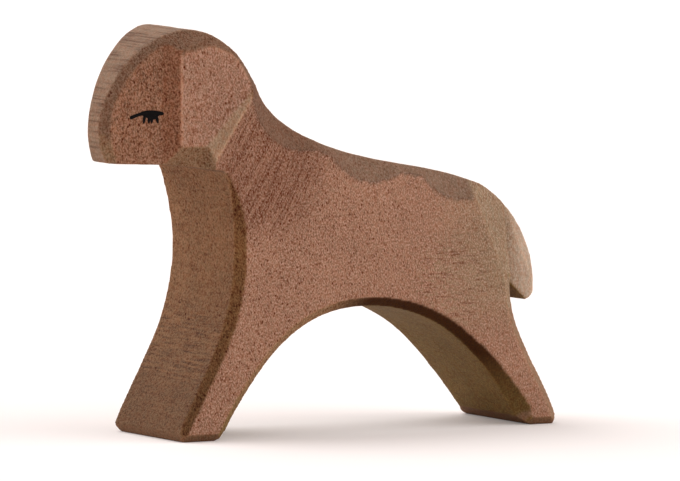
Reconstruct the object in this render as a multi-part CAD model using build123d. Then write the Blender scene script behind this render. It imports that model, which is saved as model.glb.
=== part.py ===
from build123d import *
import os
from math import atan2, cos, degrees, radians, sin, tan

os.makedirs("parts", exist_ok=True)

# Driving dimensions, millimetres
LENGTH = 66.5
BOARD = 20.0
CROWN_HEIGHT = 55.4
ARCH_HEIGHT = 17.1

# Places along the body, back from the muzzle, and heights above the table
EAR_FRONT = 0.138 * LENGTH
EAR_BACK = 0.202 * LENGTH
NECK_LOW = 0.198 * LENGTH
NECK_HIGH = 0.287 * LENGTH
CHEST_BACK = 0.29 * LENGTH
TAIL_ROOT = 0.893 * LENGTH
THROAT_HEIGHT = 0.654 * CROWN_HEIGHT
JAW_HEIGHT = 0.673 * CROWN_HEIGHT
EAR_BOTTOM = 0.716 * CROWN_HEIGHT
EYE_HEIGHT = 0.785 * CROWN_HEIGHT
NAPE_HEIGHT = 0.834 * CROWN_HEIGHT
NOTCH_HEIGHT = 0.363 * CROWN_HEIGHT

# Eased edges and feet
EDGE_EASE = 1.3
FOOT_EASE = 1.2
SOLE_EASE = 1.0
SOLE_OUTER = 0.7
SOLE_INNER = 1.6

# Knife work on head and neck; angles in degrees
MUZZLE_WIDTH = 3.1
BROW_END = 0.62
BEVEL_RISE = 3.2
BEVEL_RUN = 2.4
BEVEL_STEPS = 12
FACE_RELIEF = 1.25
EAR_RELIEF = 1.7
EAR_STEP = 1.7
EAR_COVE = 1.8
EAR_SLANT = 8.0
EAR_RISER = 28.0
CHEEK_UNDERCUT = 42.0
NECK_SLOPE = 35.0

# Knife work on chest, back and tail
CHEST_BEVEL = 1.3
TOE_BEVEL = 0.45
CHEST_RUN = 2.3
HIND_BEVEL = 2.2
HIND_RUN = 2.2
HIND_SHARE = 0.42
BEVEL_OVER = 0.5
THROAT_RAMP = 6.0
SCOOP_COUNT = 3
SCOOP_FIRST = 0.455
SCOOP_STEP = 0.148
SCOOP_RADIUS = 12.5
SCOOP_DEPTH = 3.3
SCOOP_LEAN = 35.0
RUMP_SLANT = 33.0
RUMP_RISE = 22.0
RUMP_EASE = 0.8
TAIL_WIDTH = 13.0
TAIL_CLEAR = 1.0

# Painted eyes, measured on the flat of the face
EYE_LENGTH = 0.49 * EAR_FRONT
EYE_MARGIN = 0.05
LID_PEAK = 0.62
LID_RISE = 1.2
LID_FALL = 0.6
LID_MIDDLE = 0.8
LID_END = 0.32
LASH_COUNT = 4
LASH_ROOTS = (0.42, 0.78)
LASH_TIPS = (0.40, 0.82)
LASH_LENGTH = 0.85
LASH_WIDTH = 0.42
LASH_TAPER = 0.4
PAINT = 0.08

# The head tapers so that the ear stands one step proud of the face
HALF = BOARD / 2
MUZZLE_HALF = MUZZLE_WIDTH / 2
FACE_HALF = MUZZLE_HALF + FACE_RELIEF
HEAD_TAPER = degrees(atan2(HALF - EAR_RELIEF - EAR_STEP - FACE_HALF, EAR_FRONT))

REACH = 2 * LENGTH
UP = Vector(0, 0, 1)
OUT = Vector(0, -1, 0)
BACK = Vector(1, 0, 0)


def at(along, height):
    """A point of the profile: a share of the length back from the muzzle, and a height."""
    return ((along - 0.5) * LENGTH, height)


def drawn(height, *shares):
    """Points of the profile, as shares of the length and of a height."""
    return [at(along, share * height) for along, share in shares]


def spot(back, height, out=0.0):
    """A point of the left flank: back from the muzzle, up from the table, out from the middle."""
    return Vector(back - LENGTH / 2, -out, height)


def turned(start, towards, angle):
    """The first direction, turned by an angle towards the second, square one."""
    return start * cos(radians(angle)) + towards * sin(radians(angle))


def beyond(origin, normal):
    """Everything outside a plane, as one big block."""
    return extrude(Plane(origin, z_dir=normal) * Rectangle(2 * REACH, 2 * REACH), REACH)


def facet(*planes):
    """What one knife cut takes away: the space outside all its planes."""
    cut = beyond(*planes[0])
    for plane in planes[1:]:
        cut = cut & beyond(*plane)
    return cut


# The sawn profile
chin = at(0.015, JAW_HEIGHT)
throat = at(0.2255, THROAT_HEIGHT)
toe = at(0.122, FOOT_EASE)
heel = at(0.234, FOOT_EASE)
hind_toe = at(0.910, FOOT_EASE)
hind_heel = at(1.0, FOOT_EASE)
tail_back, tail_bend, tail_tip = drawn(CROWN_HEIGHT, (0.9675, 0.339), (0.958, 0.306), (0.948, 0.301))
tail_notch = at(TAIL_ROOT / LENGTH, NOTCH_HEIGHT)

head_points = drawn(
    CROWN_HEIGHT, (0.0, 0.751), (0.033, 0.8845), (0.090, 0.962), (0.1714, 1.0), (0.2647, 0.937)
)
back_points = drawn(CROWN_HEIGHT, (0.3263, 0.823), (0.430, 0.7275), (0.549, 0.6787), (0.7143, 0.639))
rump_points = drawn(CROWN_HEIGHT, (0.866, 0.572), (0.950, 0.467))
topline = Spline(chin, *head_points, *back_points, *rump_points, tail_back)
tail_end = [ThreePointArc(tail_back, tail_bend, tail_tip), Line(tail_tip, tail_notch)]
hind_back = Spline(tail_notch, *drawn(CROWN_HEIGHT, (0.902, 0.2726), (0.946, 0.154)), hind_heel)
hind_sole = Polyline(hind_heel, (hind_heel[0] - SOLE_OUTER, 0), (hind_toe[0] + SOLE_INNER, 0), hind_toe)
arch_points = drawn(
    ARCH_HEIGHT, (0.8346, 0.462), (0.7293, 0.819), (0.579, 1.0), (0.430, 0.90), (0.3173, 0.538)
)
arch = Spline(hind_toe, *arch_points, heel)
front_sole = Polyline(heel, (heel[0] - SOLE_INNER, 0), (toe[0] + SOLE_OUTER, 0), toe)
chest = Spline(toe, *drawn(CROWN_HEIGHT, (0.1774, 0.154), (0.2286, 0.2906), (0.251, 0.451)), throat)
jaw = ThreePointArc(throat, ((throat[0] + chin[0]) / 2, (THROAT_HEIGHT + 3 * JAW_HEIGHT) / 4), chin)
outline = [topline, *tail_end, hind_back, *hind_sole.edges(), arch, *front_sole.edges(), chest, jaw]
profile = make_face(outline)


# The blank, with the long edges of back, arch and hind leg eased
def eased(block, *curves):
    """Chamfers the flank edges that follow the given curves of the profile."""
    for curve in curves:
        middle = curve @ 0.5
        rims = [Vector(middle.X, side * HALF, middle.Y) for side in (-1, 1)]
        edges = [block.edges().sort_by_distance(rim)[0] for rim in rims]
        block = chamfer(edges, EDGE_EASE)
    return block


blank = eased(extrude(Plane.XZ * profile, HALF, both=True), topline, hind_back, arch)


# Knife cuts, each as the space that it clears on the left flank
def leaning(ring, lean_x, lean_z, out):
    """A flat ring of the profile, moved out by so much in the middle and more towards tail and top."""
    return ring.transform_geometry(Matrix([[1, 0, 0, 0], [-lean_x, 1, -lean_z, -out], [0, 0, 1, 0]]))


def bevelled(curve, corners, run, foot, top):
    """A flank slab bevelled along one curve of the profile; foot and top say how its rims lean."""
    steps = [step / BEVEL_STEPS for step in range(BEVEL_STEPS + 1)]
    inner = Spline([curve @ step + (curve % step).rotate(Axis.Z, -90) * run for step in steps])
    rings = []
    for edge, lean in ((curve, foot), (inner, top)):
        hem = Polyline(edge @ 1, *corners(edge), edge @ 0)
        rings.append(leaning(Plane.XZ * make_face([edge, *hem.edges()]), *lean))
    return loft(rings, ruled=True).solid()


def brow_bevel():
    """Between the front strip of the head, which widens from the muzzle, and the cheek."""

    def corners(edge):
        return [((edge @ 1).X, 0), ((edge @ 0).X, 0)]

    slope = tan(radians(HEAD_TAPER))
    foot = MUZZLE_HALF + slope * LENGTH / 2
    rims = (slope, 0, foot), (slope, 0, foot + BEVEL_RISE)
    cheek = bevelled(topline.trim(0.0, BROW_END), corners, BEVEL_RUN, *rims)
    return facet((spot(0, 0, MUZZLE_HALF), face_out), above_throat) - cheek


def shaved(curve, run, foot, lean, *bounds):
    """A bevel along one curve of the profile, within bounds; its rim on the narrow side leans."""

    def corners(edge):
        return [(REACH, (edge @ 1).Y), (REACH, -BOARD), ((edge @ 0).X, -BOARD)]

    flank = bevelled(curve, corners, run, (0, lean, foot), (0, 0, HALF + BEVEL_OVER))
    return facet((spot(0, 0, foot), (OUT - UP * lean).normalized()), *bounds) - flank


def chest_bevel():
    """Down the front edge of chest and leg, fine at the foot and run out under the throat."""
    ahead = (spot(CHEST_BACK, 0), -BACK)
    widening = (TOE_BEVEL - CHEST_BEVEL) / THROAT_HEIGHT
    ending = tan(radians(THROAT_RAMP))
    lower = shaved(chest, CHEST_RUN, HALF - TOE_BEVEL, widening, ahead)
    return lower & shaved(chest, CHEST_RUN, HALF - THROAT_HEIGHT * ending, ending, ahead)


def hind_bevel():
    """Down the inner edge of the hind leg, broad at the foot and run out under the belly."""
    edge = arch.trim(0.0, HIND_SHARE)
    top = Vector((edge @ 1).X, 0, (edge @ 1).Y)
    return shaved(edge, HIND_RUN, HALF - HIND_BEVEL, HIND_BEVEL / top.Z, (top, -UP), (top, BACK))


def face_hollow():
    """The flat of the face, set back from the ear by a small cove."""
    cut = facet((face_start, face_out), (ear_edge, turned(-BACK, OUT, EAR_RISER)), above_throat)
    foot = ear_edge - OUT * EAR_STEP
    return fillet(cut.edges().filter_by(Axis.Z).sort_by_distance(foot)[0], EAR_COVE)


def neck_facet():
    """The cheek behind the ear lies below the flank, and a slanting facet joins the two."""
    return facet((ear_edge, ear_out), neck_slope())


def neck_slope():
    """The slanting facet itself, from the throat to the nape."""
    low = spot(NECK_LOW, JAW_HEIGHT, HALF)
    high = spot(NECK_HIGH, NAPE_HEIGHT, HALF)
    ahead = OUT.cross(high - low).normalized()
    return low, turned(OUT, ahead, NECK_SLOPE)


def under_ear():
    """The cut that leaves the ear standing over the throat, with a steep wall behind it."""
    undercut = (ear_edge + UP * EAR_BOTTOM, turned(ear_out, -UP, CHEEK_UNDERCUT))
    wall = (spot(EAR_BACK, 0, HALF), turned(-BACK, OUT, EAR_RISER))
    return facet(undercut, wall, above_throat)


def back_scoop(place):
    """One hollow knife stroke across the edge of the back."""
    top = topline @ place
    run = topline % place
    rise = OUT.cross(Vector(run.X, 0, run.Y)).normalized()
    stroke = turned(rise, -OUT, SCOOP_LEAN)
    facing = turned(OUT, rise, SCOOP_LEAN)
    deepest = Vector(top.X, -HALF, top.Y) - rise * SCOOP_DEPTH
    return Plane(deepest + facing * SCOOP_RADIUS, z_dir=stroke) * Cylinder(SCOOP_RADIUS, BOARD)


def rump_facet():
    """The flank falls away towards the tail."""
    rearward = turned(BACK, UP, RUMP_RISE)
    return facet((spot(TAIL_ROOT, NOTCH_HEIGHT, HALF - RUMP_EASE), turned(OUT, rearward, RUMP_SLANT)))


def tail_side():
    """The tail is narrower than the rump."""
    notch = spot(TAIL_ROOT, NOTCH_HEIGHT)
    tip = Vector(tail_tip[0], 0, tail_tip[1])
    slope = OUT.cross(tip - notch).normalized()
    return facet((spot(0, 0, TAIL_WIDTH / 2), OUT), (notch, BACK), (notch - UP * TAIL_CLEAR, slope))


def sole_edge():
    """The lower edge of both feet."""
    return facet((spot(0, 0, HALF - SOLE_EASE), turned(OUT, -UP, 45)))


face_out = turned(OUT, -BACK, HEAD_TAPER)
face_start = spot(0, 0, FACE_HALF)
ear_edge = spot(EAR_FRONT, 0, HALF - EAR_RELIEF)
ear_out = turned(OUT, -BACK, EAR_SLANT)
above_throat = (spot(0, THROAT_HEIGHT - FOOT_EASE), UP)
cuts = [chest_bevel(), hind_bevel(), brow_bevel(), neck_facet(), face_hollow(), under_ear()]
cuts += [rump_facet(), tail_side(), sole_edge()]
cuts += [back_scoop(SCOOP_FIRST + number * SCOOP_STEP) for number in range(SCOOP_COUNT)]
body = blank
for cut in cuts:
    body = body - cut - mirror(cut, about=Plane.XZ)
export_step(body, "parts/carved_body.step")


# The painted eyes, which end just short of the cove
riser_foot = (EAR_FRONT - EAR_STEP * tan(radians(EAR_RISER))) / cos(radians(HEAD_TAPER))
cove_run = EAR_COVE * tan(radians(90 - EAR_RISER - HEAD_TAPER) / 2)
eye_front = riser_foot - cove_run - EYE_MARGIN - EYE_LENGTH


def lid():
    """The closed lid: one stroke, thick in the middle and thin at both ends."""
    first = Vector(eye_front, EYE_HEIGHT)
    peak = first + Vector(LID_PEAK * EYE_LENGTH, LID_RISE)
    last = first + Vector(EYE_LENGTH, LID_FALL)
    thin, thick = Vector(0, LID_END), Vector(0, LID_MIDDLE)
    upper = Spline(first, peak, last)
    lower = Spline(last - thin, peak - thick, first - thin)
    return make_face([upper, lower, Line(upper @ 1, lower @ 0), Line(lower @ 1, upper @ 0)])


def lash(number):
    """One lash, a tapering stroke that hangs from the lid."""
    share = number / (LASH_COUNT - 1)
    root, tip = (low + (high - low) * share for low, high in (LASH_ROOTS, LASH_TIPS))
    top = Vector(eye_front + root * EYE_LENGTH, EYE_HEIGHT + LID_RISE - LID_MIDDLE / 2)
    end = Vector(eye_front + tip * EYE_LENGTH, EYE_HEIGHT + LID_RISE - LID_MIDDLE - LASH_LENGTH)
    width = Vector(LASH_WIDTH / 2, 0)
    corners = [top - width, top + width, end + width * LASH_TAPER, end - width * LASH_TAPER]
    return make_face(Polyline(*corners, close=True).edges())


face_flat = Plane(face_start, x_dir=turned(BACK, OUT, HEAD_TAPER), z_dir=face_out)
eyelid = extrude(face_flat * lid(), PAINT)
lashes = Compound([extrude(face_flat * lash(number), PAINT) - eyelid for number in range(LASH_COUNT)])
export_step(eyelid, "parts/left_eyelid.step")
export_step(lashes, "parts/left_lashes.step")
export_step(mirror(eyelid, about=Plane.XZ), "parts/right_eyelid.step")
export_step(mirror(lashes, about=Plane.XZ), "parts/right_lashes.step")
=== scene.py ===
from math import cos, pi, radians, sin

import bpy
import numpy as np
from mathutils import Matrix, Vector
from mathutils.bvhtree import BVHTree


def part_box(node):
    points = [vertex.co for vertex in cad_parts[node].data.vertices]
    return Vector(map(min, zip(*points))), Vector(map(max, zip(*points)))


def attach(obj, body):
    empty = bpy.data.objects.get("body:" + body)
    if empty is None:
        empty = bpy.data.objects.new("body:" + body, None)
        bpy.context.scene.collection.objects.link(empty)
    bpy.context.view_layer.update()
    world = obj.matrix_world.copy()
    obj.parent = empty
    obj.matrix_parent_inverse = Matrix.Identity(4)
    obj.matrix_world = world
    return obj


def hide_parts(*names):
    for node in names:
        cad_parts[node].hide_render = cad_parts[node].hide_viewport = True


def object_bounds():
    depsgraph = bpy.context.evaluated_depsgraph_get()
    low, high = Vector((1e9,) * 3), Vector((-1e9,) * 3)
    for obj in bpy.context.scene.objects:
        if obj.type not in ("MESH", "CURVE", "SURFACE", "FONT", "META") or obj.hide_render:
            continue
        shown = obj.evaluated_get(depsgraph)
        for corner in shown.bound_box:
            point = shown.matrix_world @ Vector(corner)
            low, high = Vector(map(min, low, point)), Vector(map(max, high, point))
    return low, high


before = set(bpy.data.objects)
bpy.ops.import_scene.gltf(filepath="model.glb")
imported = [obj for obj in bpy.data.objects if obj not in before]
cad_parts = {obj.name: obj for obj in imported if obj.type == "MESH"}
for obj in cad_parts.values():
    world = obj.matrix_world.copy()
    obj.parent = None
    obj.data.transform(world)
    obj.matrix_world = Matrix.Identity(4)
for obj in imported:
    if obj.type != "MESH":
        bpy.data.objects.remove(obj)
cad_low, cad_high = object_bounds()

# The photograph's view: turned from square-on towards the head, and raised, in degrees; sizes in metres
MM = 0.001
VIEW_TURN = 28.5
VIEW_LIFT = 4.8
VIEW_DISTANCE = 2.0
VIEW_TARGET = Vector((4.55, 0, 25.4)) * MM
PIXELS_WIDE = 680
PIXEL_SIZE = 0.1355 * MM
SENSOR_WIDTH = 36.0

# Wear and hand work on the wood
GRID = 0.31 * MM
MERGE_REACH = 0.001 * MM
WEAR_STEPS = 2
WEAR_SHARE = 0.5
WEAR_DEPTH = 0.06 * MM
WAVE_SIZE = 5.0 * MM
WAVE_DEPTH = 0.16 * MM
SOLE_CLEAR = 1.0 * MM

# Where the animal's parts meet, in millimetres behind the muzzle or above the floor
EAR_FRONT = 9.2
COVE_FRONT = EAR_FRONT - 3.0
UNDER_EAR_FRONT = EAR_FRONT + 1.0
EAR_TOP = 52.1
EAR_RISE = 0.23
NECK_BACK = 19.0
CHEST_BACK = 24.0
RUMP_FRONT = 53.0
TAIL_ROOT = 59.6
NOTCH_HEIGHT = 16.0
JAW_HEIGHT = 36.0
HOOF_HEIGHT = 1.1

# Limits for the way a surface looks: sideways for sawn faces and flats, then up or down, then along
SAWN_LIMIT = 0.25
FLAT_LIMIT = 0.97
UPRIGHT_LIMIT = 0.05
OVERHANG = -0.1
DOWNWARD = -0.5
FORWARD = -0.5
BACKWARD = 0.6
SAME_FACET = cos(radians(3))

# The painted lid: each point's share of the stroke's length, then its height and width in millimetres
LID_STROKE = (
    (0.00, 0.15, 0.38),
    (0.05, 0.19, 0.52),
    (0.20, 0.46, 0.45),
    (0.32, 0.66, 0.45),
    (0.40, 0.74, 0.56),
    (0.51, 0.60, 1.06),
    (0.67, 0.49, 1.31),
    (0.79, 0.53, 1.11),
    (0.87, 0.74, 0.50),
    (0.95, 0.70, 0.45),
    (1.00, 0.68, 0.26),
)
LID_BASE = 0.26 * MM

# The painted lashes: shares of the lid's length, then heights and widths in millimetres
LASH_ROOTS = (0.44, 0.575, 0.66, 0.78)
LASH_TIPS = (0.41, 0.56, 0.645, 0.835)
LASH_TOP = 0.45
LASH_END = -0.66
LASH_WIDTH = 0.42
LASH_POINT = 0.16

# The film of paint
PAINT_LIFT = 0.02 * MM
PAINT_DEPTH = 0.06 * MM
OUTLINE_ORDER = 3
OUTLINE_STEPS = 6


def choose(piece):
    """Selects one object and nothing else."""
    bpy.ops.object.select_all(action="DESELECT")
    piece.select_set(True)
    bpy.context.view_layer.objects.active = piece


def finish_with(piece, kind, **settings):
    """Adds one modifier to a piece and applies it."""
    choose(piece)
    step = piece.modifiers.new(kind, kind)
    for name, value in settings.items():
        setattr(step, name, value)
    bpy.ops.object.modifier_apply(modifier=step.name)


def blended(value, start, end):
    """0 at start, 1 at end, an even slope between and no further."""
    return min(1.0, max(0.0, (value - start) / (end - start)))


# Shader nodes
class Socket:
    """One output of a node; arithmetic on it adds Math nodes."""

    def __init__(self, paint, output):
        self.paint = paint
        self.output = output

    def maths(self, operation, first, second):
        return self.paint.node("Math", {"operation": operation}, {"Value": first, "Value_001": second})

    def __add__(self, other):
        return self.maths("ADD", self, other)

    def __sub__(self, other):
        return self.maths("SUBTRACT", self, other)

    def __rsub__(self, other):
        return self.maths("SUBTRACT", other, self)

    def __mul__(self, other):
        return self.maths("MULTIPLY", self, other)

    __radd__ = __add__


# How a place fades out, how sharply cells are picked for flecks, and a scale that takes both flanks as one
NEAR_CORE = 0.4
PICK_EDGE = 0.1
BOTH_FLANKS = (1, 1000, 1)


class Paint:
    """The nodes of one material or of the world."""

    def __init__(self, owner):
        owner.use_nodes = True
        self.tree = owner.node_tree
        self.tree.nodes.clear()

    def node(self, kind, settings=None, sockets=None, output=0):
        """Adds a node, sets its settings, fills or links its sockets, and gives one output."""
        made = self.tree.nodes.new("ShaderNode" + kind)
        for name, value in (settings or {}).items():
            setattr(made, name, value)
        inputs = {socket.identifier: socket for socket in made.inputs}
        for name, value in (sockets or {}).items():
            if isinstance(value, Socket):
                self.tree.links.new(value.output, inputs[name])
            else:
                inputs[name].default_value = value
        outputs = {socket.identifier: socket for socket in made.outputs}
        if not outputs:
            return None
        return Socket(self, outputs[output] if output in outputs else made.outputs[output])

    def mixed(self, factor, first, second):
        """Two colours, mixed."""
        sockets = {"Factor_Float": factor, "A_Color": first, "B_Color": second}
        return self.node("Mix", {"data_type": "RGBA"}, sockets, "Result_Color")

    def scaled(self, colour, amount):
        """A colour made lighter or darker."""
        return self.node("VectorMath", {"operation": "SCALE"}, {"Vector": colour, "Scale": amount})

    def product(self, colour, shares):
        """A colour with its red, green and blue each changed by a share."""
        return self.node("VectorMath", {"operation": "MULTIPLY"}, {"Vector": colour, "Vector_001": shares})

    def step(self, value, low, high):
        """0 at low, 1 at high, smooth between."""
        settings = {"interpolation_type": "SMOOTHSTEP"}
        return self.node("MapRange", settings, {"Value": value, "From Min": low, "From Max": high})

    def mark(self, name, output="Fac"):
        """A mark that the piece carries on its mesh."""
        return self.node("Attribute", {"attribute_name": name}, output=output)

    def placed(self, size, lean=0.0):
        """Object coordinates for a pattern of this size in millimetres, leaning back from upright."""
        place = self.node("TexCoord", output="Object")
        scale = [MM * share for share in size]
        sockets = {"Vector": place, "Scale": scale, "Rotation": (0, radians(lean), 0)}
        return self.node("Mapping", {"vector_type": "TEXTURE"}, sockets)

    def noise(self, size, lean=0.0, detail=2.0):
        """Soft noise around zero whose patches have this size."""
        sockets = {"Vector": self.placed(size, lean), "Scale": 1.0, "Detail": detail}
        return self.node("TexNoise", {}, sockets) - 0.5

    def flecks(self, size, lean, core, edge, share):
        """Separate flecks, 1 inside; only about this share of the cells has one."""
        sockets = {"Vector": self.placed(size, lean), "Scale": 1.0}
        far = self.node("TexVoronoi", {}, sockets, "Distance")
        pick = self.node("SeparateColor", {}, {"Color": self.node("TexVoronoi", {}, sockets, "Color")})
        bare = 1 - share
        return (1 - self.step(far, core, edge)) * self.step(pick, bare - PICK_EDGE, bare + PICK_EDGE)

    def near(self, along, height, reach):
        """1 at a place on either flank, in millimetres, fading to 0 at its reach."""
        sockets = {"Vector": self.placed(BOTH_FLANKS), "Vector_001": (along, 0, height)}
        far = self.node("VectorMath", {"operation": "DISTANCE"}, sockets, "Value")
        return 1 - self.step(far, NEAR_CORE * reach, reach)

    def finished(self, sockets):
        """Ends a material with one plain surface."""
        surface = self.node("BsdfPrincipled", {}, sockets)
        self.node("OutputMaterial", {}, {"Surface": surface})


def tint(red, green, blue):
    """A colour written as it looks on a screen, from 0 to 255, as the shader wants it."""
    def light(value):
        share = value / 255
        return share / 12.92 if share <= 0.04045 else ((share + 0.055) / 1.055) ** 2.4

    return (light(red), light(green), light(blue), 1.0)


def new_material(name):
    """An empty material and its nodes."""
    material = bpy.data.materials.new(name)
    return material, Paint(material)


# How each surface took the stain, and how open its pores are; the arch and arch edge under the belly are
# darker still with painted shade, and the tail's colour is much paler
STAINS_AND_SHADE = {
    "flank": (tint(155, 114, 90), 1.0),
    "face": (tint(143, 101, 76), 1.0),
    "cove": (tint(134, 89, 64), 0.9),
    "ear": (tint(156, 115, 92), 0.8),
    "neck": (tint(162, 130, 103), 0.2),
    "under_ear": (tint(130, 98, 71), 0.68),
    "brow": (tint(117, 85, 64), 0.7),
    "strip": (tint(137, 108, 87), 0.1),
    "jaw": (tint(110, 80, 58), 0.3),
    "chest": (tint(134, 95, 64), 0.68),
    "chest_edge": (tint(117, 79, 46), 1.0),
    "scoop": (tint(127, 98, 78), 0.62),
    "back": (tint(116, 83, 63), 0.5),
    "rump": (tint(144, 117, 91), 0.8),
    # The tail: a much paler colour with closed pores
    "tail": (tint(178, 152, 130), 0.0),
    "hind": (tint(140, 106, 80), 0.4),
    # The arch and arch edge: stain made darker with painted shade under the belly
    "arch": (tint(120, 92, 50), 0.62),
    "arch_edge": (tint(58, 28, 2), 0.4),
    "arch_rim": (tint(142, 106, 74), 0.8),
    "hoof": (tint(118, 85, 60), 0.3),
}

# Stains that run into another along the animal, between two places in millimetres behind the muzzle; the
# arch edge's painted shade fades into the arch rim's colour towards the front
RUNS_INTO = {
    "flank": ("rump", 46, 58),
    "tail": ("rump", 62.5, 59.5),
    "arch_edge": ("arch_rim", 37, 30),
    "scoop": ("back", 36, 28),
    "strip": ("back", 11.5, 19),
}

# Heights in millimetres between which a stain changes, the arch edge's painted shade included, and how much
# painted shade darkens the front leg at the foot
HAUNCH_HEIGHTS = (12, 20)
ARCH_HEIGHTS = (0, 10)
LEG_HEIGHTS = (6, 26)
LEG_FOOT_SHADE = 0.64

# How often a stain, and the painted highlights and shadows along arrises, are evened out with their
# neighbours where two surfaces meet
STAIN_RUNS = 1
RIM_LIGHT_RUNS = 1

# Painted highlights and shadows: where two cuts meet, a painted lighter or darker line
RIM_LIGHT_AND_SHADOW = {
    frozenset(("flank", "scoop")): -0.45,
    frozenset(("ear", "cove")): 0.35,
    frozenset(("ear", "brow")): 0.30,
    frozenset(("ear", "under_ear")): 0.20,
    frozenset(("neck", "flank")): 0.25,
}

# How clearly the saw shows
SAW_LINES = {"strip": 1.0, "chest": 0.18, "arch": 0.15, "hind": 0.15}

# What pores, pale fibres and uneven stain make of a stain's red, green and blue, and the grey of torn wood
PORE_SHADE = (0.30, 0.10, 0.02)
PALE_SHADE = (1.55, 1.75, 2.15)
REDDER = (1.04, 0.97, 0.93)
GREENER = (0.95, 1.02, 1.04)
STREAK_GREY = tint(146, 122, 94)

# Patterns in the wood: patches in millimetres along, across and up, with their lean back in degrees
PATCHES = (8, 8, 10)
MOTTLE = (1.6, 1.6, 2.4)
FIBRES = (0.16, 0.30, 0.27)
LUMPS = (0.45, 0.90, 0.70)
GRAIN = (0.3, 0.3, 3.0)
LARGE_PORES = (0.44, 0.80, 0.72)
GRAIN_LEAN = -6
# Pale specks: partly dust, partly painted glints off fibres
SPECKS = (0.62, 0.62, 0.50)
SAW_BANDS = (9, 9, 0.34)
SAW_LEAN = 45
RIPPLES = (5, 5, 0.30)
CHATTER = (0.22, 0.8, 4.0)
CHATTER_LEAN = 30
STREAKS = (1.5, 1.5, 0.28)
TUFTS = (0.20, 0.20, 0.64)
TUFT_LEAN = -3
SMOOTH_DETAIL = 1.0

# Places on the flanks, in millimetres behind the middle, above the floor, and their reach
LEG_RIPPLES = (-18, 11.5, 8)
NECK_CHATTER_AND_SHADE = (-12.5, 36.5, 12)
TORN_HAUNCH = (17.5, 20, 9.5)
FACE_TUFTS = (-28, 45, 9)
REAR = (-6, 20)

# Openness that only flats have, and how fuzzy the fibres of a closed surface still are
FLAT_OPENNESS = (0.7, 0.95)
LEAST_FUZZ = 0.35

# How strongly each pattern lightens and darkens the stain
PATCH_SHADE = 0.4
MOTTLE_SHADE = 0.3
GRAIN_SHADE = 0.6
SAW_SHADE = 1.1
RIPPLE_SHADE = 11
CHATTER_SHADE = 0.7
# Painted shade on the neck where it turns away from the light
NECK_PAINTED_SHADE = 0.12
TUFT_SHADE = 1.5
# Worn arrises lighter: partly stain worn off, partly painted highlight
WEAR_AND_HIGHLIGHT_SHADE = 0.3

# Between which values of its pattern each mark begins and is full
HUE_EDGE = (-0.12, 0.12)
STREAK_EDGE = (-0.02, 0.12)
FRAY_EDGE = (0.0, 0.15)
SMALL_EDGE = (0.0, 0.16)
HOLLOW_EDGE = (0.0, 0.2)
TEAR_EDGE = (-0.17, -0.08)
CUT_EDGE = (-0.2, 0.0)
GROOVE_EDGE = (-0.2, 0.06)

# Flecks: their core and edge as shares of a cell, and the share of cells that has one
PORE_FLECK = (0.18, 0.34, 0.85)
SPECK_FLECK = (0.12, 0.34, 0.6)

# How much of the wood's colour each mark covers, and how far pores close at the rear and on the neck
STREAK_COVER = 0.6
SPECK_COVER = 0.5
FRAY_COVER = 0.75
LARGE_COVER = 0.6
SMALL_COVER = 0.5
HOLLOW_COVER = 0.25
TEAR_COVER = 0.4
CUT_COVER = 0.5
GROOVE_COVER = 0.56
GROOVE_CLEAR = 0.36
REAR_CLOSED = 0.4
NECK_CLOSED = 0.15

# Relief, roughness and shine of the wood
FIBRE_HEIGHT = 0.5
LUMP_HEIGHT = 1.6
BUMP_STRENGTH = 0.5
BUMP_DEPTH = 0.16 * MM
WOOD_ROUGH = 0.7
FIBRE_ROUGH = 0.4
PORE_ROUGH = 0.2
WOOD_SHINE = 0.12


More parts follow.
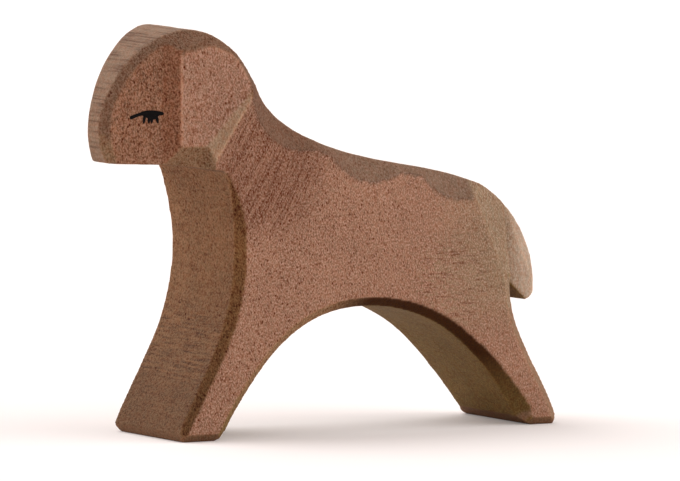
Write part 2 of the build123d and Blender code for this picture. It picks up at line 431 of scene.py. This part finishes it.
class Wood:
    """Sawn and knife-cut hardwood whose grain stands upright."""

    def __init__(self, paint):
        self.paint = paint
        self.stain = paint.mark("stain", "Color")
        self.openness = paint.mark("stain", "Alpha")
        self.sawn = paint.mark("sawn")
        self.fuzzy = LEAST_FUZZ + self.openness * (1 - LEAST_FUZZ)

        flat = paint.step(self.openness, *FLAT_OPENNESS)
        along = paint.node("SeparateXYZ", {}, {"Vector": paint.placed((1, 1, 1))}, "X")
        self.rear = paint.step(along, *REAR)
        # Where the neck has chatter and painted shade
        self.neck = paint.near(*NECK_CHATTER_AND_SHADE) * flat
        self.torn = paint.near(*TORN_HAUNCH) * flat
        self.face = paint.near(*FACE_TUFTS) * flat

        self.fibre = paint.noise(FIBRES, GRAIN_LEAN, SMOOTH_DETAIL)
        self.lumps = paint.noise(LUMPS, GRAIN_LEAN)
        self.saw_lines = paint.noise(SAW_BANDS, SAW_LEAN)
        self.chatter = paint.noise(CHATTER, CHATTER_LEAN)
        self.streaks = paint.noise(STREAKS)

    def shade(self):
        """How light or dark the wood is beside its plain stain: its patterns, painted shade on the neck,
        and wear with painted highlights and shadows along arrises.
        """
        paint = self.paint
        grain = paint.noise(GRAIN, GRAIN_LEAN) * (1 - self.openness) * (1 - self.sawn)
        ripples = paint.noise(RIPPLES) * paint.near(*LEG_RIPPLES) * self.sawn
        tufts = paint.noise(TUFTS, TUFT_LEAN, SMOOTH_DETAIL) * self.face
        shade = 1 + paint.noise(PATCHES) * PATCH_SHADE
        shade = shade + paint.noise(MOTTLE, GRAIN_LEAN) * MOTTLE_SHADE
        shade = shade + grain * GRAIN_SHADE + self.saw_lines * self.sawn * SAW_SHADE
        shade = shade + ripples * RIPPLE_SHADE + tufts * TUFT_SHADE
        # The neck's chatter, with painted shade over it
        shade = shade + (self.chatter * CHATTER_SHADE - NECK_PAINTED_SHADE) * self.neck
        # Lighter along worn arrises, partly wear and partly painted highlight, plus the painted rim
        # highlights and shadows
        return shade + paint.mark("worn") * WEAR_AND_HIGHLIGHT_SHADE + paint.mark("rim")

    def toned(self):
        """The stain, redder and greener in places, lighter and darker, and grey where the grain is torn."""
        paint = self.paint
        redder, greener = paint.product(self.stain, REDDER), paint.product(self.stain, GREENER)
        varied = paint.mixed(paint.step(self.lumps, *HUE_EDGE), redder, greener)
        torn = paint.step(self.streaks, *STREAK_EDGE) * self.torn * STREAK_COVER
        return paint.mixed(torn, paint.scaled(varied, self.shade()), STREAK_GREY)

    def paleness(self):
        """How much frayed fibres, and flecks towards the rear, cover."""
        # Pale specks towards the rear: partly dust, partly painted glints
        specks = self.paint.flecks(SPECKS, 0, *SPECK_FLECK) * self.rear * self.openness
        frayed = self.paint.step(self.fibre, *FRAY_EDGE) * self.fuzzy
        return specks * SPECK_COVER + frayed * FRAY_COVER

    def pores(self):
        """How much open pores cover."""
        paint = self.paint
        large = paint.flecks(LARGE_PORES, GRAIN_LEAN, *PORE_FLECK) * LARGE_COVER * self.openness
        small = paint.step(0 - self.fibre, *SMALL_EDGE) * SMALL_COVER
        hollows = paint.step(0 - self.lumps, *HOLLOW_EDGE) * HOLLOW_COVER
        everywhere = large + (small + hollows) * self.fuzzy
        return everywhere * (1 - self.rear * REAR_CLOSED) * (1 - self.neck * NECK_CLOSED)

    def tears(self):
        """How much torn grain covers."""
        return (1 - self.paint.step(self.streaks, *TEAR_EDGE)) * self.torn * TEAR_COVER

    def cuts(self):
        """How much deep saw lines cover."""
        return (1 - self.paint.step(self.saw_lines, *CUT_EDGE)) * self.sawn * CUT_COVER

    def grooves(self):
        """How much the stain that stays in the neck's chatter covers."""
        return (GROOVE_COVER - self.paint.step(self.chatter, *GROOVE_EDGE) * GROOVE_CLEAR) * self.neck


def stained_wood():
    """Brown stain on the carved wood, with painted shade, highlights and shadows in its colour."""
    material, paint = new_material("stained_wood")
    wood = Wood(paint)
    pores, tears, cuts = wood.pores(), wood.tears(), wood.cuts()
    light = paint.mixed(wood.paleness(), wood.toned(), paint.product(wood.stain, PALE_SHADE))
    dark = paint.product(wood.stain, PORE_SHADE)
    colour = paint.mixed(pores + tears + cuts + wood.grooves(), light, dark)

    height = wood.fibre * FIBRE_HEIGHT + wood.lumps * wood.fuzzy * LUMP_HEIGHT + wood.chatter * wood.neck
    height = height - pores - tears - cuts
    relief = {"Height": height, "Strength": BUMP_STRENGTH, "Distance": BUMP_DEPTH}
    paint.finished({
        "Base Color": colour,
        "Roughness": WOOD_ROUGH + wood.fibre * FIBRE_ROUGH + pores * PORE_ROUGH,
        "Normal": paint.node("Bump", {}, relief),
        "Specular IOR Level": WOOD_SHINE,
    })
    return material


# Brush paint: full and thin, where it thins, and its roughness and shine
INK = tint(7, 5, 5)
THIN_INK = tint(36, 26, 22)
INK_PATCHES = (0.25, 0.25, 0.4)
THIN_EDGE = (0.05, 0.3)
INK_ROUGH = 0.6
THIN_ROUGH = 0.3
INK_SHINE = 0.08


def eye_paint():
    """Black brush paint, a little worn."""
    material, paint = new_material("eye_paint")
    thin = paint.noise(INK_PATCHES)
    paint.finished({
        "Base Color": paint.mixed(paint.step(thin, *THIN_EDGE), INK, THIN_INK),
        "Roughness": INK_ROUGH + thin * THIN_ROUGH,
        "Specular IOR Level": INK_SHINE,
    })
    return material


# The carved animal
def facing(slope, up=0.0):
    """A direction out of a flank, turned forward by a slope and up, in degrees."""
    level = sin(radians(slope))
    return Vector((-level * cos(radians(up)), cos(radians(slope)), level * sin(radians(up))))


FACETS = {
    "face": facing(22.5),
    "ear": facing(8),
    "neck": facing(35, 34),
}


def same(looks, name):
    """Whether a surface looks the way of a named facet."""
    return looks.dot(FACETS[name]) > SAME_FACET


def head_surface(along, height, looks):
    """The name of a cut on the head, from its place and the way it looks."""
    if same(looks, "ear") and height > EAR_TOP + EAR_RISE * (along - EAR_FRONT):
        return "brow"
    for name in FACETS:
        if same(looks, name):
            return name
    if looks.y > FLAT_LIMIT:
        return "flank"
    if looks.y < SAWN_LIMIT:
        if looks.z < DOWNWARD:
            return "jaw"
        return "chest" if along > EAR_FRONT and looks.x < FORWARD else "strip"
    upright = abs(looks.z) <= UPRIGHT_LIMIT
    if looks.z < -UPRIGHT_LIMIT or (upright and along > UNDER_EAR_FRONT):
        return "under_ear"
    return "cove" if upright and along > COVE_FRONT else "brow"


def body_surface(along, height, looks):
    """The name of a cut on the body, from its place and the way it looks."""
    front = along < CHEST_BACK and looks.x < 0
    if looks.y > FLAT_LIMIT:
        return "flank"
    if height < HOOF_HEIGHT and looks.z < DOWNWARD:
        return "hoof"
    if looks.y < SAWN_LIMIT:
        if looks.z < OVERHANG and not front:
            return "arch"
        if looks.x > BACKWARD and along > RUMP_FRONT:
            return "hind"
        return "chest" if front else "back"
    if front:
        return "chest_edge"
    if looks.z < OVERHANG:
        return "arch_edge"
    if along > RUMP_FRONT:
        return "rump" if height > NOTCH_HEIGHT else "hind"
    return "scoop"


def surface_at(along, height, looks):
    """The name of the surface at a place, from the way it looks with both flanks taken as one."""
    if along > TAIL_ROOT and height > NOTCH_HEIGHT and looks.z > DOWNWARD:
        return "tail"
    if height > JAW_HEIGHT and along < NECK_BACK:
        return head_surface(along, height, looks)
    return body_surface(along, height, looks)


def softened(piece, values, runs):
    """Each point's values moved towards its neighbours' so that they run into each other."""
    ends = np.empty(len(piece.data.edges) * 2, dtype=np.int32)
    piece.data.edges.foreach_get("vertices", ends)
    first, second = ends.reshape(-1, 2).T
    neighbours = np.bincount(ends, minlength=len(values))[:, None]
    for _ in range(runs):
        total = np.zeros_like(values)
        np.add.at(total, first, values[second])
        np.add.at(total, second, values[first])
        values = (values + total / neighbours) / 2
    return values


def stain_and_shade_of(name):
    """The stain of a named surface, darkened with painted shade for the arch and arch edge, and the
    openness of its pores, as one row.
    """
    colour, openness = STAINS_AND_SHADE[name]
    return np.array((*colour[:3], openness))


def stain_and_shade_at(name, along, height):
    """The stain, with painted shade where it has some, and the openness of the pores on a named surface at
    a place in millimetres.
    """
    stain = stain_and_shade_of(name)
    if name in RUNS_INTO:
        other, start, end = RUNS_INTO[name]
        share = blended(along, start, end)
        if other == "rump":
            share *= blended(height, *HAUNCH_HEIGHTS)
        stain += (stain_and_shade_of(other) - stain) * share
    # Painted shade: the arch edge's dark band gives way to the arch's colour near the floor
    if name == "arch_edge":
        stain += (stain_and_shade_of("arch") - stain) * (1 - blended(height, *ARCH_HEIGHTS))
    if name in ("chest", "chest_edge"):
        # Painted shade: the chest and chest edge darker towards the foot
        stain[:3] *= LEG_FOOT_SHADE + (1 - LEG_FOOT_SHADE) * blended(height, *LEG_HEIGHTS)
    return stain


def arrises(piece, names):
    """How much painted highlight or shadow each point has for lying where two cuts meet."""
    rim_light = np.zeros((len(names), 1))
    for edge in piece.data.edges:
        first, second = edge.vertices
        meeting = frozenset((names[first], names[second]))
        if meeting in RIM_LIGHT_AND_SHADOW:
            rim_light[first] = rim_light[second] = RIM_LIGHT_AND_SHADOW[meeting]
    return softened(piece, rim_light, RIM_LIGHT_RUNS).ravel()


def mark_surfaces(piece, solid):
    """Marks how each surface took the stain, with its painted shade, where the saw left lines, how arrises
    are worn, and the painted highlights and shadows where cuts meet.
    """
    names, stains, saws, wear = [], [], [], []
    for vertex in piece.data.vertices:
        place, normal, _, _ = solid.find_nearest(vertex.co)
        along, height = (place.x - cad_low.x) / MM, place.z / MM
        name = surface_at(along, height, Vector((normal.x, abs(normal.y), normal.z)))
        names.append(name)
        stains.append(stain_and_shade_at(name, along, height))
        saws.append(SAW_LINES.get(name, 0.0))
        wear.append(blended((place - vertex.co).dot(normal), 0, WEAR_DEPTH))
    stain = piece.data.attributes.new("stain", "FLOAT_COLOR", "POINT")
    stain.data.foreach_set("color", softened(piece, np.array(stains), STAIN_RUNS).ravel())
    # The rim mark carries painted highlights and shadows along arrises
    for mark, values in (("sawn", saws), ("worn", wear), ("rim", arrises(piece, names))):
        layer = piece.data.attributes.new(mark, "FLOAT", "POINT")
        layer.data.foreach_set("value", values)


def wave_flats(piece):
    """Leaves the flats a little wavy, always into the wood, and the soles flat."""
    group = piece.vertex_groups.new(name="above_soles")
    for vertex in piece.data.vertices:
        group.add([vertex.index], blended(vertex.co.z, 0, SOLE_CLEAR), "REPLACE")
    waves = bpy.data.textures.new("waves", "CLOUDS")
    waves.noise_scale = WAVE_SIZE
    settings = {"texture": waves, "texture_coords": "LOCAL", "vertex_group": group.name}
    finish_with(piece, "DISPLACE", strength=WAVE_DEPTH, mid_level=1.0, **settings)
    piece.vertex_groups.clear()


def carved_wood():
    """The whole animal: the solid's form with worn arrises and slightly wavy hand-cut flats."""
    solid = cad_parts["carved_body"]
    piece = bpy.data.objects.new("carved_wood", solid.data.copy())
    bpy.context.scene.collection.objects.link(piece)
    choose(piece)
    bpy.ops.object.mode_set(mode="EDIT")
    bpy.ops.mesh.select_all(action="SELECT")
    bpy.ops.mesh.remove_doubles(threshold=MERGE_REACH)
    bpy.ops.object.mode_set(mode="OBJECT")
    corners = [vertex.co.copy() for vertex in piece.data.vertices]
    flats = [list(face.vertices) for face in piece.data.polygons]
    finish_with(piece, "REMESH", mode="VOXEL", voxel_size=GRID, use_smooth_shade=True)
    finish_with(piece, "SMOOTH", factor=WEAR_SHARE, iterations=WEAR_STEPS)
    mark_surfaces(piece, BVHTree.FromPolygons(corners, flats))
    wave_flats(piece)
    return piece


# The painted eyes
def outline(line, points):
    """Adds one closed smooth outline to a flat curve."""
    run = line.data.splines.new("NURBS")
    run.points.add(len(points) - 1)
    for point, (along, up) in zip(run.points, points):
        point.co = (along * MM, up * MM, 0, 1)
    run.use_cyclic_u = True
    run.order_u = OUTLINE_ORDER


def painted(name, outlines, place, wood):
    """A thin film of paint with these outlines, laid on the wood at a place."""
    bpy.ops.object.select_all(action="DESELECT")
    bpy.ops.curve.primitive_bezier_circle_add(radius=MM, location=(0, 0, 0))
    line = bpy.context.object
    line.name = name
    line.data.splines.clear()
    for points in outlines:
        outline(line, points)
    line.data.dimensions = "2D"
    line.data.fill_mode = "BOTH"
    line.data.resolution_u = OUTLINE_STEPS
    choose(line)
    bpy.ops.object.convert(target="MESH")
    film = bpy.context.object
    film.data.transform(place)
    finish_with(film, "SHRINKWRAP", target=wood, wrap_mode="ABOVE_SURFACE", offset=PAINT_LIFT)
    finish_with(film, "SOLIDIFY", thickness=PAINT_DEPTH, offset=0)
    return film


def lid_outline(length):
    """The lid's stroke: its upper edge from front to back, then its lower edge."""
    upper = [(along * length, up + width / 2) for along, up, width in LID_STROKE]
    lower = [(along * length, up - width / 2) for along, up, width in LID_STROKE]
    return upper + lower[::-1]


def lash_outline(root, tip):
    """One lash, from under the lid to its point."""
    return [
        (root - LASH_WIDTH / 2, LASH_TOP),
        (root + LASH_WIDTH / 2, LASH_TOP),
        ((root + tip) / 2 + LASH_WIDTH / 2, (LASH_TOP + LASH_END) / 2),
        (tip + LASH_POINT / 2, LASH_END),
        (tip - LASH_POINT / 2, LASH_END),
        ((root + tip) / 2 - LASH_WIDTH / 2, (LASH_TOP + LASH_END) / 2),
    ]


def eye(side, wood):
    """The closed lid and lashes of one side, replacing that side's solids."""
    lid_node, lash_node = side + "_eyelid", side + "_lashes"
    low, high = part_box(lid_node)
    outer, inner = (low.y, high.y) if side == "left" else (high.y, low.y)
    front = Vector((low.x, inner, low.z + LID_BASE))
    along = Vector((high.x - low.x, outer - inner, 0))
    up = Vector((0, 0, 1))
    out = along.normalized().cross(up)
    turn = Matrix((along.normalized(), up, out)).transposed().to_4x4()
    place = Matrix.Translation(front) @ turn

    length = along.length / MM
    lid = painted(side + "_lid_paint", [lid_outline(length)], place, wood)
    lines = [lash_outline(root * length, tip * length) for root, tip in zip(LASH_ROOTS, LASH_TIPS)]
    lashes = painted(side + "_lash_paint", lines, place, wood)
    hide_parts(lid_node)
    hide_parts(lash_node)
    return [lid, lashes]


# The studio: soft lamps far away, by the way their light comes, how strong and how wide they are
WINDOW = ((-0.35, 0.55, 0.75), 0.60, 60)
REFLECTOR = ((0.55, -0.45, 0.35), 0.50, 70)
TENT_LIGHT = 0.50
TENT_COLOUR = (1.0, 0.92, 0.88, 1)
WHITE = (1, 1, 1, 1)
PAPER = tint(246, 240, 238)
FLOOR_GLOW = 0.1
FLOOR_SIZE = 8


def white_floor():
    """White paper, a little brighter to the camera than the lamps make it."""
    material, paint = new_material("white_floor")
    seen = paint.node("LightPath", {}, {}, "Is Camera Ray")
    paper = paint.node("BsdfDiffuse", {}, {"Color": PAPER})
    glow = paint.node("Emission", {}, {"Color": WHITE, "Strength": seen * FLOOR_GLOW})
    surface = paint.node("AddShader", {}, {"Shader": paper, "Shader_001": glow})
    paint.node("OutputMaterial", {}, {"Surface": surface})
    return material


def lamp(name, way, strength, width):
    """A wide lamp far away; a strength of 1 shows a white surface that looks at it as white."""
    bpy.ops.object.light_add(type="SUN")
    light = bpy.context.object
    light.name = name
    light.rotation_euler = Vector(way).to_track_quat("Z", "Y").to_euler()
    light.data.energy = strength * pi
    light.data.angle = radians(width)


def tent():
    """The white tent around the animal, seen as plain white."""
    world = bpy.data.worlds.new("tent")
    bpy.context.scene.world = world
    paint = Paint(world)
    ways = ("Is Camera Ray", "Is Glossy Ray", "Is Transmission Ray")
    seen = sum(paint.node("LightPath", {}, {}, way) for way in ways)
    colour = paint.mixed(seen, TENT_COLOUR, WHITE)
    strength = TENT_LIGHT + seen * (1 - TENT_LIGHT)
    sky = paint.node("Background", {}, {"Color": colour, "Strength": strength})
    paint.node("OutputWorld", {}, {"Surface": sky})


def camera():
    """The camera that took the photograph."""
    turn, lift = radians(VIEW_TURN), radians(VIEW_LIFT)
    back = Vector((-sin(turn) * cos(lift), -cos(turn) * cos(lift), sin(lift)))
    bpy.ops.object.camera_add(location=VIEW_TARGET + back * VIEW_DISTANCE)
    made = bpy.context.object
    made.rotation_euler = (-back).to_track_quat("-Z", "Y").to_euler()
    made.data.sensor_width = SENSOR_WIDTH
    made.data.lens = SENSOR_WIDTH * VIEW_DISTANCE / (PIXELS_WIDE * PIXEL_SIZE)
    bpy.context.scene.camera = made


def studio():
    """Floor, lamps, tent and camera."""
    bpy.ops.object.select_all(action="DESELECT")
    bpy.ops.mesh.primitive_plane_add(size=FLOOR_SIZE)
    floor = bpy.context.object
    floor.name = "floor"
    floor.data.materials.append(white_floor())
    lamp("window", *WINDOW)
    lamp("reflector", *REFLECTOR)
    tent()
    camera()
    bpy.context.scene.view_settings.view_transform = "Standard"


# Everything together
wood = carved_wood()
wood.data.materials.clear()
wood.data.materials.append(stained_wood())
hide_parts("carved_body")
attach(wood, "root")
ink = eye_paint()
for side in ("left", "right"):
    for piece in eye(side, wood):
        piece.data.materials.append(ink)
        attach(piece, "root")
studio()
